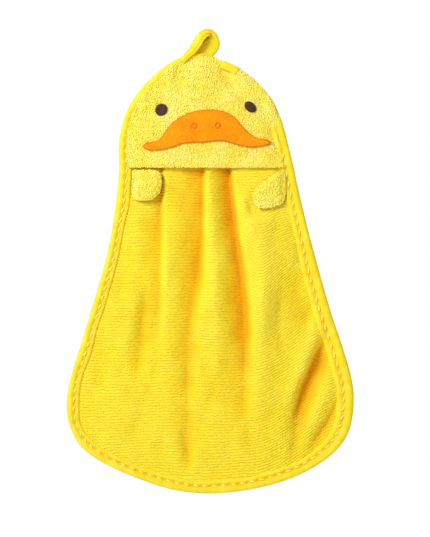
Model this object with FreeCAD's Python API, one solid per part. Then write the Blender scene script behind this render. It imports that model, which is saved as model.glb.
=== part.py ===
import FreeCAD, Part
import math
import os

# Duck-faced hanging hand towel, in millimetres.
# The towel hangs in the XZ plane and its face looks towards -Y.
# The origin is the inside top of the hanging loop, where a hook bears.

Vector = FreeCAD.Vector

# Whole towel
towelWidth = 264.2          # widest, across the lower body
towelLength = 404.6         # crown of the head to the lower hem
crownDrop = 23.2            # the crown hangs this far below the hook point
headShare = 0.2526          # of the length: the crown to the seam between head and body
faceShare = 1.161           # the bill and the eyes are spread over this much of the seam's bound width

# Cloth layers
facePly = 3.2               # short plush, one layer of the head
headGap = 0.4               # air between the two layers of the head
bodyCloth = 3.0             # ribbed knit, measured along Y
clearance = 0.05            # between pieces sewn flat on each other
crossingRoom = 0.01         # an inset outline may come this much nearer than its inset

# Edge binding
bindingWidth = 12.0
bindingTape = 1.2
hingeGap = 0.5              # free air round the fold between head and body
loopFootGap = 1.4           # free air under the foot of the loop

# Hanging loop
loopTape = 1.4
loopHole = 6.4              # widest opening between the front and back runs
loopFrontWidth = 9.5
loopBackWidth = 13.0
loopFrontLine = (-13.0, -7.5, 0.5)      # middle of the front run: at its foot, waist and top
loopBackLine = (-1.5, 3.5, 1.0)
loopWidestShare = 0.42      # of the drop from the hook point: where the opening is widest
loopWaistShare = 0.45
loopTopShare = 0.7          # the rounded top is this share of the run's width
loopFootSpread = 0.1        # each run's inner face stands this far from the middle at the foot

# Folded end of the tape, beside the crown: shares of the towel's width and length
tabStart = (0.078, 0.025)
tabEnd = (0.119, 0.038)
tabRise = 0.8               # past the outer edge of the tape below
tabDepthShare = 0.45        # of the binding's width

# Face
billThickness = 2.0
billStitchWidth = 1.3
billStitchRise = 0.5
eyeWidth = 11.6
eyeHeight = 10.8
eyeRise = 1.2
nostrilOuter = 2.8
nostrilInner = 1.5
nostrilRise = 0.7

# Paws: a thin backing and a thicker plush front
pawBacking = 1.8
pawPlush = 3.6
pawLift = 0.8               # air between the paw and the binding under it
pawSeamGap = 6.0            # the paws start this far below the seam
pawHingeGap = 0.4           # between a paw's side and the line it turns about
leftHingeDrop = 22.5        # each paw turns over the binding's inner edge, this far below the seam
rightHingeDrop = 28.5

# Body folds
foldLeft = 5.0
foldMiddle = 5.5
foldRight = 7.0
foldHem = 4.0
foldFade = 55.0             # the folds reach full depth this far below the seam

seamDrop = headShare * towelLength
crownZ = -crownDrop
seamZ = crownZ - seamDrop
hemZ = crownZ - towelLength
headHalf = headGap / 2 + facePly
headBindingHalf = headHalf + bindingTape
bodyHalf = bodyCloth / 2
bodyBindingHalf = bodyHalf + bindingTape
headBottomZ = seamZ + bodyBindingHalf + hingeGap
loopFootHalf = loopTape + loopFootSpread
loopBaseZ = crownZ + loopFootHalf + loopFootGap
far = 2 * towelLength

# Outline, clockwise from the crown: share of the width from the middle,
# and share of the length down from the crown. The left side hangs a little lower.
towelOutline = [
    (-0.012, 0.000), (0.049, 0.017), (0.119, 0.038), (0.178, 0.068), (0.227, 0.106),
    (0.258, 0.149), (0.278, 0.195), (0.300, 0.254), (0.321, 0.318), (0.353, 0.404),
    (0.391, 0.496), (0.433, 0.591), (0.475, 0.673), (0.505, 0.744), (0.511, 0.799),
    (0.496, 0.856), (0.454, 0.900), (0.377, 0.939), (0.272, 0.971), (0.143, 0.992),
    (0.010, 1.000), (-0.115, 0.992), (-0.241, 0.966), (-0.360, 0.931), (-0.437, 0.895),
    (-0.477, 0.849), (-0.489, 0.799), (-0.477, 0.742), (-0.433, 0.648), (-0.388, 0.550),
    (-0.346, 0.452), (-0.320, 0.354), (-0.307, 0.274), (-0.307, 0.213), (-0.299, 0.172),
    (-0.272, 0.122), (-0.227, 0.079), (-0.164, 0.039), (-0.091, 0.009),
]

# Bill, from its left tip over the top: share of the face's width from the
# middle, and share of the head's length down from the crown.
billOutline = [
    (-0.373, 0.830), (-0.354, 0.804), (-0.312, 0.795), (-0.272, 0.765), (-0.246, 0.712),
    (-0.212, 0.641), (-0.148, 0.570), (-0.087, 0.529), (-0.003, 0.508), (0.080, 0.517),
    (0.147, 0.562), (0.197, 0.641), (0.239, 0.712), (0.289, 0.757), (0.345, 0.772),
    (0.371, 0.797), (0.345, 0.824), (0.264, 0.841), (0.197, 0.828), (0.147, 0.807),
    (0.097, 0.788), (0.047, 0.785), (-0.020, 0.799), (-0.087, 0.800), (-0.145, 0.811),
    (-0.204, 0.841), (-0.262, 0.862), (-0.321, 0.869), (-0.360, 0.856),
]
nostrilPlaces = {"nostril_left": (-0.076, 0.648), "nostril_right": (0.062, 0.645)}
eyePlaces = {"eye_left": (-0.266, 0.502), "eye_right": (0.253, 0.477)}


def headPoint(across, down):
    return Vector(across * faceWidth, 0, crownZ - down * seamDrop)


def closedSpline(points):
    curve = Part.BSplineCurve()
    curve.interpolate(Points=points, PeriodicFlag=True)
    return curve


def insetSpline(points, inset, samples=120):
    """The closed spline through the points, moved inwards along its own normals.

    Where the curve turns tighter than the inset, the points that would cross are left out."""
    curve = closedSpline(points)
    if inset == 0:
        return curve
    edge = curve.toShape()
    first, last = curve.FirstParameter, curve.LastParameter
    follow = points[1:] + points[:1]
    turned = sum(here.x * ahead.z - ahead.x * here.z for here, ahead in zip(points, follow))
    inward = 1 if turned < 0 else -1        # the inside of a clockwise outline is on its right
    moved = []
    for step in range(samples):
        here = first + (last - first) * step / samples
        tangent = curve.tangent(here)[0]
        normal = Vector(tangent.z, 0, -tangent.x) * inward
        inner = curve.value(here) + normal * inset
        if edge.distToShape(Part.Vertex(inner))[0] > abs(inset) - crossingRoom:
            moved.append(inner)
    return closedSpline(moved)


def prism(curve, low, high):
    """A solid between y = low and y = high whose outline is the closed curve."""
    face = Part.Face(Part.Wire(curve.toShape()))
    face.translate(Vector(0, low, 0))
    return face.extrude(Vector(0, high - low, 0))


def slab(lowX, lowY, lowZ, highX, highY, highZ):
    return Part.makeBox(highX - lowX, highY - lowY, highZ - lowZ, Vector(lowX, lowY, lowZ))


def aboveHeight(height):
    return slab(-far, -far, height, far, far, far)


def belowHeight(height):
    return slab(-far, -far, -far, far, far, height)


def cushioned(points, backY, thickness):
    """A flat-backed pillow: its outline draws in towards the front in a quarter circle."""
    layers = []
    for turn in (0, 25, 48, 68):
        angle = math.radians(turn)
        curve = insetSpline(points, thickness * (1 - math.cos(angle)) + 0.001, 36)
        wire = Part.Wire(curve.toShape())
        rise = thickness * math.sin(angle) / math.sin(math.radians(68))
        wire.translate(Vector(0, backY - rise, 0))
        layers.append(wire)
    ruled = True
    return Part.makeLoft(layers, True, ruled)


def towelPoint(across, down):
    return Vector(across * towelWidth, 0, crownZ - down * towelLength)


outlinePoints = [towelPoint(across, down) for across, down in towelOutline]
outerEdge = insetSpline(outlinePoints, 0)
tapeInside = insetSpline(outlinePoints, bindingTape)
clothEdge = insetSpline(outlinePoints, bindingTape + clearance)
bindingInner = insetSpline(outlinePoints, bindingWidth)


def innerEdgeX(height, side):
    """The binding's inner edge at a height, on the left (-1) or on the right (1)."""
    low, high, samples = bindingInner.FirstParameter, bindingInner.LastParameter, 4000
    places = [bindingInner.value(low + (high - low) * step / samples) for step in range(samples)]
    return min((place for place in places if place.x * side > 0), key=lambda place: abs(place.z - height)).x


faceWidth = faceShare * (innerEdgeX(seamZ, 1) - innerEdgeX(seamZ, -1))

# Each fold is a hollow that runs down the body: where it crosses the seam and the
# hem, its depth, its half width, and the bow of its line to one side.
bodyFolds = [
    (-48, -68, foldLeft, 13, 8),
    (-4, -20, foldMiddle, 13, 4),
    (26, 40, foldRight, 12, 6),
    (104, 74, foldHem, 14, 0),
]


def foldDepth(x, z):
    """How far the middle of the cloth lies behind the plane y = 0 at a point of the body."""
    drop = (seamZ - z) / (seamZ - hemZ)
    if drop <= 0:
        return 0.0
    fadeIn = min(1.0, (seamZ - z) / foldFade)
    rise = fadeIn * fadeIn * (3 - 2 * fadeIn)
    depth = 0.0
    for topX, hemX, hollow, halfWidth, bow in bodyFolds:
        centre = topX + (hemX - topX) * drop + bow * math.sin(math.pi * drop)
        away = (x - centre) / halfWidth
        depth += hollow * math.exp(-away * away) * (1 - 0.55 * drop)
    return rise * depth


def wavySheet(thickness):
    """The body's folded cloth, wider than the towel, with the given thickness along Y."""
    columns, rows = 45, 31
    left, right = -0.62 * towelWidth, 0.62 * towelWidth
    top, bottom = seamZ + 30, hemZ - 20
    grid = []
    for column in range(columns):
        x = left + (right - left) * column / (columns - 1)
        line = []
        for row in range(rows):
            z = top + (bottom - top) * row / (rows - 1)
            line.append(Vector(x, foldDepth(x, z) - thickness / 2, z))
        grid.append(line)
    surface = Part.BSplineSurface()
    surface.interpolate(grid)
    return surface.toShape().extrude(Vector(0, thickness, 0))


def headPanel(low):
    panel = prism(clothEdge, low, low + facePly)
    return panel.common(aboveHeight(headBottomZ))


def headBinding():
    solid = prism(outerEdge, -headBindingHalf, headBindingHalf)
    solid = solid.cut(prism(bindingInner, -far, far))
    slot = headHalf + clearance
    solid = solid.cut(prism(tapeInside, -slot, slot))
    return solid.common(aboveHeight(headBottomZ))


def bodyPanel():
    solid = wavySheet(bodyCloth).common(prism(clothEdge, -far, far))
    return solid.common(belowHeight(seamZ))


def bodyBinding():
    ring = prism(outerEdge, -far, far).cut(prism(bindingInner, -2 * far, 2 * far))
    solid = wavySheet(2 * bodyBindingHalf).common(ring)
    slot = wavySheet(bodyCloth + 2 * clearance).common(prism(tapeInside, -far, far))
    return solid.cut(slot).common(belowHeight(seamZ))


def bindingEndTab():
    """The folded end of the tape, sewn over its own start beside the crown."""
    first, last = (outerEdge.value(outerEdge.parameter(towelPoint(*place))) for place in (tabStart, tabEnd))
    along = (last - first).normalize()
    outward = Vector(-along.z, 0, along.x)
    if outward.z < 0:
        outward = -outward
    rise = outward * (bindingTape + tabRise)
    sink = outward * (-tabDepthShare * bindingWidth)
    corners = [first + sink, first + rise, last + rise, last + sink]
    face = Part.Face(Part.makePolygon(corners + corners[:1]))
    half = headBindingHalf + bindingTape
    face.translate(Vector(0, -half, 0))
    strip = face.extrude(Vector(0, 2 * half, 0))
    inner = headBindingHalf + clearance
    return strip.cut(prism(insetSpline(outlinePoints, -clearance), -inner, inner))


def loopBand():
    """The loop's side view: a drop-shaped band that closes at its sewn base."""
    halfHole = loopHole / 2

    def drop(grow):
        foot = loopFootSpread + grow
        widest = loopWidestShare * loopBaseZ
        points = [Vector(0, -foot, loopBaseZ), Vector(0, -(halfHole + grow), widest), Vector(0, 0, grow),
                  Vector(0, halfHole + grow, widest), Vector(0, foot, loopBaseZ)]
        side = Part.BSplineCurve()
        side.interpolate(Points=points)
        closing = Part.makeLine(points[-1], points[0])
        return Part.Face(Part.Wire([side.toShape(), closing]))

    outer = drop(loopTape).extrude(Vector(4 * loopBackWidth, 0, 0))
    inner = drop(0).extrude(Vector(4 * loopBackWidth, 0, 0))
    band = outer.cut(inner)
    band.translate(Vector(-2 * loopBackWidth, 0, 0))
    return band


def loopRun(middleLine, width, low, high):
    """The stretch of tape seen from the front: a leaning strip that narrows at its top."""
    footX, waistX, topX = middleLine
    half, halfTop = width / 2, loopTopShare * width / 2
    footZ, waistZ, topZ = loopBaseZ - loopTape, loopWaistShare * loopBaseZ, 1.5 * loopTape
    left = [Vector(footX - half, 0, footZ), Vector(waistX - half, 0, waistZ),
            Vector(topX - halfTop, 0, topZ)]
    right = [Vector(topX + halfTop, 0, topZ), Vector(waistX + half, 0, waistZ),
             Vector(footX + half, 0, footZ)]
    edges = []
    for side in (left, right):
        curve = Part.BSplineCurve()
        curve.interpolate(Points=side)
        edges.append(curve.toShape())
    edges.insert(1, Part.makeLine(left[-1], right[0]))
    edges.append(Part.makeLine(right[-1], left[0]))
    face = Part.Face(Part.Wire(edges))
    face.translate(Vector(0, low, 0))
    return face.extrude(Vector(0, high - low, 0))


def hangingLoop():
    band = loopBand()
    front = band.common(loopRun(loopFrontLine, loopFrontWidth, -far, 0))
    back = band.common(loopRun(loopBackLine, loopBackWidth, 0, far))
    return front.fuse(back).removeSplitter()


faceY = -headHalf - clearance
billEdge = [headPoint(across, down) for across, down in billOutline]


def bill():
    return prism(insetSpline(billEdge, billStitchWidth + clearance), faceY - billThickness, faceY)


def billEdgeStitching():
    front = faceY - billThickness - billStitchRise
    ring = prism(insetSpline(billEdge, 0), front, faceY)
    return ring.cut(prism(insetSpline(billEdge, billStitchWidth), -far, far))


def nostril(across, down):
    place = headPoint(across, down)
    base = faceY - billThickness - clearance
    axis = Vector(0, -1, 0)
    start = Vector(place.x, base, place.z)
    outer = Part.makeCylinder(nostrilOuter, nostrilRise, start, axis)
    return outer.cut(Part.makeCylinder(nostrilInner, nostrilRise, start, axis))


def eye(across, down):
    place = headPoint(across, down)
    rim = []
    for step in range(12):
        turn = 2 * math.pi * step / 12
        rim.append(place + Vector(eyeWidth / 2 * math.cos(turn), 0, eyeHeight / 2 * math.sin(turn)))
    return cushioned(rim, faceY, eyeRise)


pawBackY = -bodyBindingHalf - pawLift
pawTopZ = seamZ - pawSeamGap
leftHingeX = innerEdgeX(seamZ - leftHingeDrop, -1)
rightHingeX = innerEdgeX(seamZ - rightHingeDrop, 1)
pawOutlines = {
    "paw_left": [(4, -0.8), (14, 0), (24, -2), (28, -12), (25, -23), (14.5, -26.8),
                 (5, -25.5), (1, -19), (0.3, -8)],
    "paw_right": [(3.5, -1.2), (10, -0.6), (19, -6.5), (27, -13.5), (29.6, -24), (25.5, -31.8),
                  (15, -32.8), (6.5, -30.5), (1.4, -24), (0.4, -12)],
}
pawHinges = {"paw_left": (leftHingeX, 1), "paw_right": (rightHingeX, -1)}


def pawPoints(name):
    """The paw's outline, from its outer top corner; the first number is the reach from its hinge."""
    hingeX, inward = pawHinges[name]
    return [Vector(hingeX + inward * (reach + pawHingeGap), 0, pawTopZ + height)
            for reach, height in pawOutlines[name]]


def pawBack(name):
    return prism(closedSpline(pawPoints(name)), pawBackY - pawBacking, pawBackY)


def pawFront(name):
    return cushioned(pawPoints(name), pawBackY - pawBacking - clearance, pawPlush)


parts = {
    "head_front_panel": headPanel(-headHalf),
    "head_back_panel": headPanel(headGap / 2),
    "head_edge_binding": headBinding(),
    "binding_end_tab": bindingEndTab(),
    "hanging_loop": hangingLoop(),
    "body_panel": bodyPanel(),
    "body_edge_binding": bodyBinding(),
    "bill": bill(),
    "bill_edge_stitching": billEdgeStitching(),
}
for name, place in nostrilPlaces.items():
    parts[name] = nostril(*place)
for name, place in eyePlaces.items():
    parts[name] = eye(*place)
for name in pawOutlines:
    parts[name + "_backing"] = pawBack(name)
    parts[name + "_front"] = pawFront(name)

os.makedirs("parts", exist_ok=True)
for name, shape in parts.items():
    shape.exportStep("parts/" + name + ".step")
    box = shape.BoundBox
    print(f"{name:22s} {shape.isValid()} solids {len(shape.Solids)} vol {shape.Volume:9.1f}"
          f" x {box.XMin:7.1f} {box.XMax:7.1f} y {box.YMin:6.1f} {box.YMax:6.1f}"
          f" z {box.ZMin:7.1f} {box.ZMax:7.1f}")
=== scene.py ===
import bpy
import numpy as np
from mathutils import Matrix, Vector


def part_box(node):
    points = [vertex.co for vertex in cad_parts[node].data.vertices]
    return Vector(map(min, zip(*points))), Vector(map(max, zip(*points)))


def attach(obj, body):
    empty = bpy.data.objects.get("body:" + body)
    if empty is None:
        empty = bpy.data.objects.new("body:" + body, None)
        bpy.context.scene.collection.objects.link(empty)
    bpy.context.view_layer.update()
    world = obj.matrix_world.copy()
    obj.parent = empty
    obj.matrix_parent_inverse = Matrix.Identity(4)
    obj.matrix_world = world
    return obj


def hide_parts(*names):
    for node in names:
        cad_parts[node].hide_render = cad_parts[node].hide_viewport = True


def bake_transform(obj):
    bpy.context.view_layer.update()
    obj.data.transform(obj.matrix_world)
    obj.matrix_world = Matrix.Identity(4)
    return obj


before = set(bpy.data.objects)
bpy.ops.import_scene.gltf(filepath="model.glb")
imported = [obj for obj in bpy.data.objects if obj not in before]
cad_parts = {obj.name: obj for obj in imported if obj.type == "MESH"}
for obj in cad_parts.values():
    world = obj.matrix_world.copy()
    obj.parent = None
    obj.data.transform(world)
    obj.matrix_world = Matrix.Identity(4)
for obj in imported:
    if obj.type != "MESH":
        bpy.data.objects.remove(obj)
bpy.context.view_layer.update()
print("frame loaded")

mm = 0.001
fullTurn = 2 * np.pi

# the towel hangs in the plane y = 0 and looks towards -y; x is to the viewer's right
bodyLow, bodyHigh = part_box("body_edge_binding")
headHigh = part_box("head_edge_binding")[1]
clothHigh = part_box("body_panel")[1]
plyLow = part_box("head_front_panel")[0]
towel = {
    "width": bodyHigh.x - bodyLow.x,
    "crown": headHigh.z,
    "hem": bodyLow.z,
    "seam": clothHigh.z,
    "bodyHalf": 1.5 * mm,       # half the thickness of the body's cloth
    "headHalf": -plyLow.y,      # and of the head's two plies together
}
towel["length"] = towel["crown"] - towel["hem"]

# outline clockwise from the crown: share of the width from the middle, share of the length down
towelOutline = [
    (-0.012, 0.000), (0.049, 0.017), (0.119, 0.038), (0.178, 0.068), (0.227, 0.106),
    (0.258, 0.149), (0.278, 0.195), (0.300, 0.254), (0.321, 0.318), (0.353, 0.404),
    (0.391, 0.496), (0.433, 0.591), (0.475, 0.673), (0.505, 0.744), (0.511, 0.799),
    (0.496, 0.856), (0.454, 0.900), (0.377, 0.939), (0.272, 0.971), (0.143, 0.992),
    (0.010, 1.000), (-0.115, 0.992), (-0.241, 0.966), (-0.360, 0.931), (-0.437, 0.895),
    (-0.477, 0.849), (-0.489, 0.799), (-0.477, 0.742), (-0.433, 0.648), (-0.388, 0.550),
    (-0.346, 0.452), (-0.320, 0.354), (-0.307, 0.274), (-0.307, 0.213), (-0.299, 0.172),
    (-0.272, 0.122), (-0.227, 0.079), (-0.164, 0.039), (-0.091, 0.009),
]


# smooth line through points: each stretch is the cubic whose end slopes are half the step
# from the point before to the point after; asked at t from 0 to 1 over the whole line
def smoothLine(points, t, closed=False):
    points = np.asarray(points, float)
    count = len(points)
    stretches = count if closed else count - 1
    place = np.clip(np.asarray(t, float), 0, 1) * stretches
    stretch = np.minimum(place.astype(int), stretches - 1)
    u = (place - stretch)[..., None]

    def pick(index):
        return points[index % count] if closed else points[np.clip(index, 0, count - 1)]

    a, b, c, d = pick(stretch - 1), pick(stretch), pick(stretch + 1), pick(stretch + 2)
    slopeB, slopeC = (c - a) / 2, (d - b) / 2
    rise = c - b
    square, cube = 3 * rise - 2 * slopeB - slopeC, slopeB + slopeC - 2 * rise
    return b + u * (slopeB + u * (square + u * cube))


# the same line asked at even steps of its length: sums the chord lengths and reads back
def evenLine(points, count, closed=False, samples=4000):
    fine = smoothLine(points, np.linspace(0, 1, samples), closed)
    run = np.concatenate([[0], np.cumsum(np.linalg.norm(np.diff(fine, axis=0), axis=1))])
    share = np.arange(count) / count if closed else np.linspace(0, 1, count)
    even = [np.interp(share * run[-1], run, fine[:, axis]) for axis in range(fine.shape[1])]
    return np.stack(even, -1), run[-1]


# inward normals of a clockwise closed line in the x z plane: its tangent turned a quarter right
def inwardNormals(line):
    tangent = np.roll(line, -1, 0) - np.roll(line, 1, 0)
    tangent /= np.linalg.norm(tangent, axis=1)[:, None]
    return np.stack([tangent[:, 1], -tangent[:, 0]], -1)


# 0 below low, 1 above high, and three squares less two cubes of the share between them
def smoothStep(value, low, high):
    u = np.clip((value - low) / (high - low), 0, 1)
    return u * u * (3 - 2 * u)


# uneven cloth: the mean of sine waves in seeded directions, about the given size across
def unevenness(x, z, size, seed, waves=9):
    random = np.random.default_rng(seed)
    total = np.zeros(np.broadcast(x, z).shape)
    for _ in range(waves):
        turn, phase = random.uniform(0, fullTurn, 2)
        step = fullTurn / (size * random.uniform(0.7, 1.5))
        total = total + np.sin((x * np.cos(turn) + z * np.sin(turn)) * step + phase)
    return total / np.sqrt(waves)


# a crease: a bell across the line from start to end, fading out past both ends; seen going down
# the line, the left width is the viewer's left
def crease(x, z, start, end, depth, left, right):
    (x0, z0), (x1, z1) = np.array(start) * mm, np.array(end) * mm
    run = np.hypot(x1 - x0, z1 - z0)
    along = ((x - x0) * (x1 - x0) + (z - z0) * (z1 - z0)) / run
    across = ((x - x0) * (z1 - z0) - (z - z0) * (x1 - x0)) / run
    ends = np.clip(np.maximum(-along, along - run), 0, None)
    width = np.where(across > 0, left, right) * mm
    return depth * mm * np.exp(-(across / width) ** 2 - (ends / (2 * max(left, right) * mm)) ** 2)


outlineCount = 1600
outlineCorners = np.array([
    (across * towel["width"], towel["crown"] - down * towel["length"])
    for across, down in towelOutline])
outlineLine, outlineRun = evenLine(outlineCorners, outlineCount, closed=True)
outlineInward = inwardNormals(outlineLine)
onRight = np.arange(outlineCount) < np.argmin(outlineLine[:, 1])


# a measure given for heights (in millimetres) on the left and on the right side, read at every
# point of the outline and averaged over its nearest points
def alongOutline(leftSteps, rightSteps, near=12):
    steps = [np.array(side[::-1]) for side in (leftSteps, rightSteps)]
    left, right = [np.interp(outlineLine[:, 1], side[:, 0] * mm, side[:, 1]) for side in steps]
    measure = np.where(onRight, right, left)
    return sum(np.roll(measure, shift) for shift in range(-near, near + 1)) / (2 * near + 1)


# left and right edge of the towel at the heights z, moved in from the outline; the inset may be
# one number or one for each point of the outline
def edgesAt(z, inset):
    line = outlineLine + outlineInward * np.broadcast_to(inset, len(outlineLine))[:, None]
    line = np.roll(line, -np.argmax(line[:, 1]), 0)
    bottom = np.argmin(line[:, 1])
    right, left = line[:bottom + 1], line[bottom:]
    rightOrder, leftOrder = np.argsort(right[:, 1]), np.argsort(left[:, 1])
    return (np.interp(z, left[leftOrder, 1], left[leftOrder, 0]),
            np.interp(z, right[rightOrder, 1], right[rightOrder, 0]))


# the four-sided faces of a grid of points, which may close up round its rows or its columns
def gridQuads(rows, columns, start=0, aroundRows=False, aroundColumns=False, flip=False):
    row = np.arange(rows if aroundRows else rows - 1)[:, None]
    column = np.arange(columns if aroundColumns else columns - 1)[None, :]
    nextRow, nextColumn = (row + 1) % rows, (column + 1) % columns
    corners = [row * columns + column, row * columns + nextColumn,
               nextRow * columns + nextColumn, nextRow * columns + column]
    if flip:
        corners.reverse()
    quads = np.stack([np.broadcast_to(corner, (row.size, column.size)) for corner in corners], -1)
    return quads.reshape(-1, 4) + start


# the border of a grid, as one closed ring of point numbers
def gridRim(rows, columns):
    numbers = np.arange(rows * columns).reshape(rows, columns)
    return np.concatenate([numbers[0, :-1], numbers[:-1, -1], numbers[-1, :0:-1], numbers[:0:-1, 0]])


# a mesh object from arrays: its faces come in sets that have the same number of corners each
def makePiece(name, points, faceSets, material, uv=None, values=None):
    points = np.asarray(points, float).reshape(-1, 3)
    mesh = bpy.data.meshes.new(name)
    mesh.vertices.add(len(points))
    mesh.vertices.foreach_set("co", points.astype(np.float32).ravel())
    loops = np.concatenate([faces.ravel() for faces in faceSets])
    sizes = np.concatenate([np.full(len(faces), faces.shape[1]) for faces in faceSets])
    mesh.loops.add(len(loops))
    mesh.loops.foreach_set("vertex_index", loops.astype(np.int32))
    mesh.polygons.add(len(sizes))
    mesh.polygons.foreach_set("loop_start", (np.cumsum(sizes) - sizes).astype(np.int32))
    mesh.update(calc_edges=True)
    mesh.polygons.foreach_set("use_smooth", np.ones(len(sizes), bool))
    if uv is not None:
        layer = mesh.uv_layers.new(name="cloth")
        layer.data.foreach_set("uv", np.asarray(uv, np.float32).reshape(-1, 2)[loops].ravel())
    for key, value in (values or {}).items():
        layer = mesh.attributes.new(key, "FLOAT", "POINT")
        layer.data.foreach_set("value", np.asarray(value, np.float32).ravel())
    mesh.validate()
    mesh.materials.append(material)
    piece = bpy.data.objects.new(name, mesh)
    bpy.context.scene.collection.objects.link(piece)
    return piece


# two grids at the same places x and z, the outer one first
def shellPoints(x, outer, inner, z):
    return np.concatenate([np.stack([x, y, z], -1).reshape(-1, 3) for y in (outer, inner)])


# those two grids sewn into a closed shell along their borders
def shellFaces(rows, columns):
    count = rows * columns
    rim = gridRim(rows, columns)
    ahead = np.roll(rim, -1)
    wall = np.stack([rim, rim + count, ahead + count, ahead], -1)
    return [gridQuads(rows, columns, flip=True), gridQuads(rows, columns, count), wall]


# rings of points joined into a tube, with one face over each end
def tubeFaces(rows, columns):
    ring = np.arange(columns)
    return [gridQuads(rows, columns, aroundColumns=True), ring[None, ::-1],
            (ring + (rows - 1) * columns)[None, :]]


tuft = {
    "sunk": 0.35, "belly": 0.30,            # shares of the length below and above the root
    "foot": 0.6, "round": 0.7,              # shares of the radius at the foot and at the belly
    "tips": [0, 0, 0, 0, 0.7, 0.7, 0.7, 0.7, 1.0],      # how near the tip each point is
    "clothTip": 0.35,                       # and the cloth between the tufts
}


# tufts: four-sided spikes, widest at a belly; each has a square foot and leans the given way
def makeTufts(roots, leans, radius, seed):
    random = np.random.default_rng(seed)
    count = len(roots)
    length = np.linalg.norm(leans, axis=1)[:, None]
    up = leans / length
    side = np.cross(up, random.normal(size=(count, 3)))
    side /= np.linalg.norm(side, axis=1)[:, None]
    other = np.cross(up, side)
    widths = radius * random.uniform(0.7, 1.3, (count, 1))
    foot = roots - tuft["sunk"] * leans
    belly = roots + tuft["belly"] * leans
    narrow, wide = tuft["foot"], tuft["round"]
    corners = [foot + widths * narrow * side, foot + widths * narrow * other,
               foot - widths * narrow * side, foot - widths * narrow * other,
               belly + widths * (side + other) * wide, belly + widths * (other - side) * wide,
               belly - widths * (side + other) * wide, belly + widths * (side - other) * wide,
               roots + leans]
    points = np.stack(corners, 1).reshape(-1, 3)
    low, high, tip = np.arange(4), 4 + np.arange(4), len(corners) - 1
    quads = np.stack([low, (low + 1) % 4, high, 4 + (low - 1) % 4], -1)
    triangles = np.stack([high, 4 + (low + 1) % 4, np.full(4, tip)], -1)
    starts = (np.arange(count) * len(corners))[:, None, None]
    return points, (quads + starts).reshape(-1, 4), (triangles + starts).reshape(-1, 3)


# a shader node; an input is fed by another node's socket or given a plain value
def addNode(tree, kind, feed=None, **settings):
    made = tree.nodes.new(kind)
    for key, value in settings.items():
        setattr(made, key, value)
    for key, value in (feed or {}).items():
        if isinstance(value, bpy.types.NodeSocket):
            tree.links.new(value, made.inputs[key])
        else:
            made.inputs[key].default_value = value
    return made


def newMaterial(name):
    material = bpy.data.materials.new(name)
    material.use_nodes = True
    tree = material.node_tree
    return material, tree, tree.nodes["Principled BSDF"]


def calculate(tree, operation, first, second):
    return addNode(tree, "ShaderNodeMath", {0: first, 1: second}, operation=operation).outputs[0]


def mixColours(tree, share, first, second):
    factor, one, other, mixed = 0, 6, 7, 2          # the Mix node's sockets for colours
    mix = addNode(tree, "ShaderNodeMix", data_type="RGBA")
    for index, value in ((factor, share), (one, first), (other, second)):
        if isinstance(value, bpy.types.NodeSocket):
            tree.links.new(value, mix.inputs[index])
        else:
            mix.inputs[index].default_value = value
    return mix.outputs[mixed]


def noiseValue(tree, vector, scale, detail=2.0, roughness=0.5):
    feed = {"Vector": vector, "Scale": scale, "Detail": detail, "Roughness": roughness}
    return addNode(tree, "ShaderNodeTexNoise", feed).outputs["Fac"]


# 0 at low, 1 at high, and held beyond them
def spread(tree, value, low, high):
    feed = {"Value": value, "From Min": low, "From Max": high}
    return addNode(tree, "ShaderNodeMapRange", feed).outputs[0]


def attribute(tree, name):
    return addNode(tree, "ShaderNodeAttribute", attribute_name=name).outputs["Fac"]


# lays a tone over a colour where the value goes from low to high, as strongly as the share says
def tinted(tree, colour, tone, value, low, high, share):
    strength = calculate(tree, "MULTIPLY", spread(tree, value, low, high), share)
    return mixColours(tree, strength, colour, tone)


# colour and bump into the shader, with what the look says is the same all over
def finishShader(tree, shader, look, colour, height):
    tree.links.new(colour, shader.inputs["Base Color"])
    bump = addNode(tree, "ShaderNodeBump", {"Height": height, "Distance": look["bump"], "Strength": 1.0})
    tree.links.new(bump.outputs[0], shader.inputs["Normal"])
    shader.inputs["Specular IOR Level"].default_value = look["specular"]
    for key, name in (("roughness", "Roughness"), ("sheen", "Sheen Weight")):
        if key in look:
            shader.inputs[name].default_value = look[key]


# knit colours: flat is the cloth's own; ridge is painted light on the forward bulges and also a random
# lighter tone; hollow is painted shade in the folds and gap painted shade between the ribs; pale and the
# darker loop colour are painted light and shade on the loops
knitLook = {
    "ridge": (0.950, 0.785, 0.052, 1), "flat": (0.950, 0.715, 0.012, 1),
    "hollow": (0.905, 0.370, 0.002, 1), "gap": (0.860, 0.450, 0.003, 1),
    "pale": (0.990, 0.900, 0.160, 1), "shadedLoop": (0.930, 0.590, 0.010, 1),
    "wobbleScale": 170.0, "loopScale": 950.0, "clumpScale": 420.0, "patchScale": 38.0,
    "wobble": 0.0030, "bump": 0.0007, "roughness": 0.92, "sheen": 0.06, "specular": 0.1,
}
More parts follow.
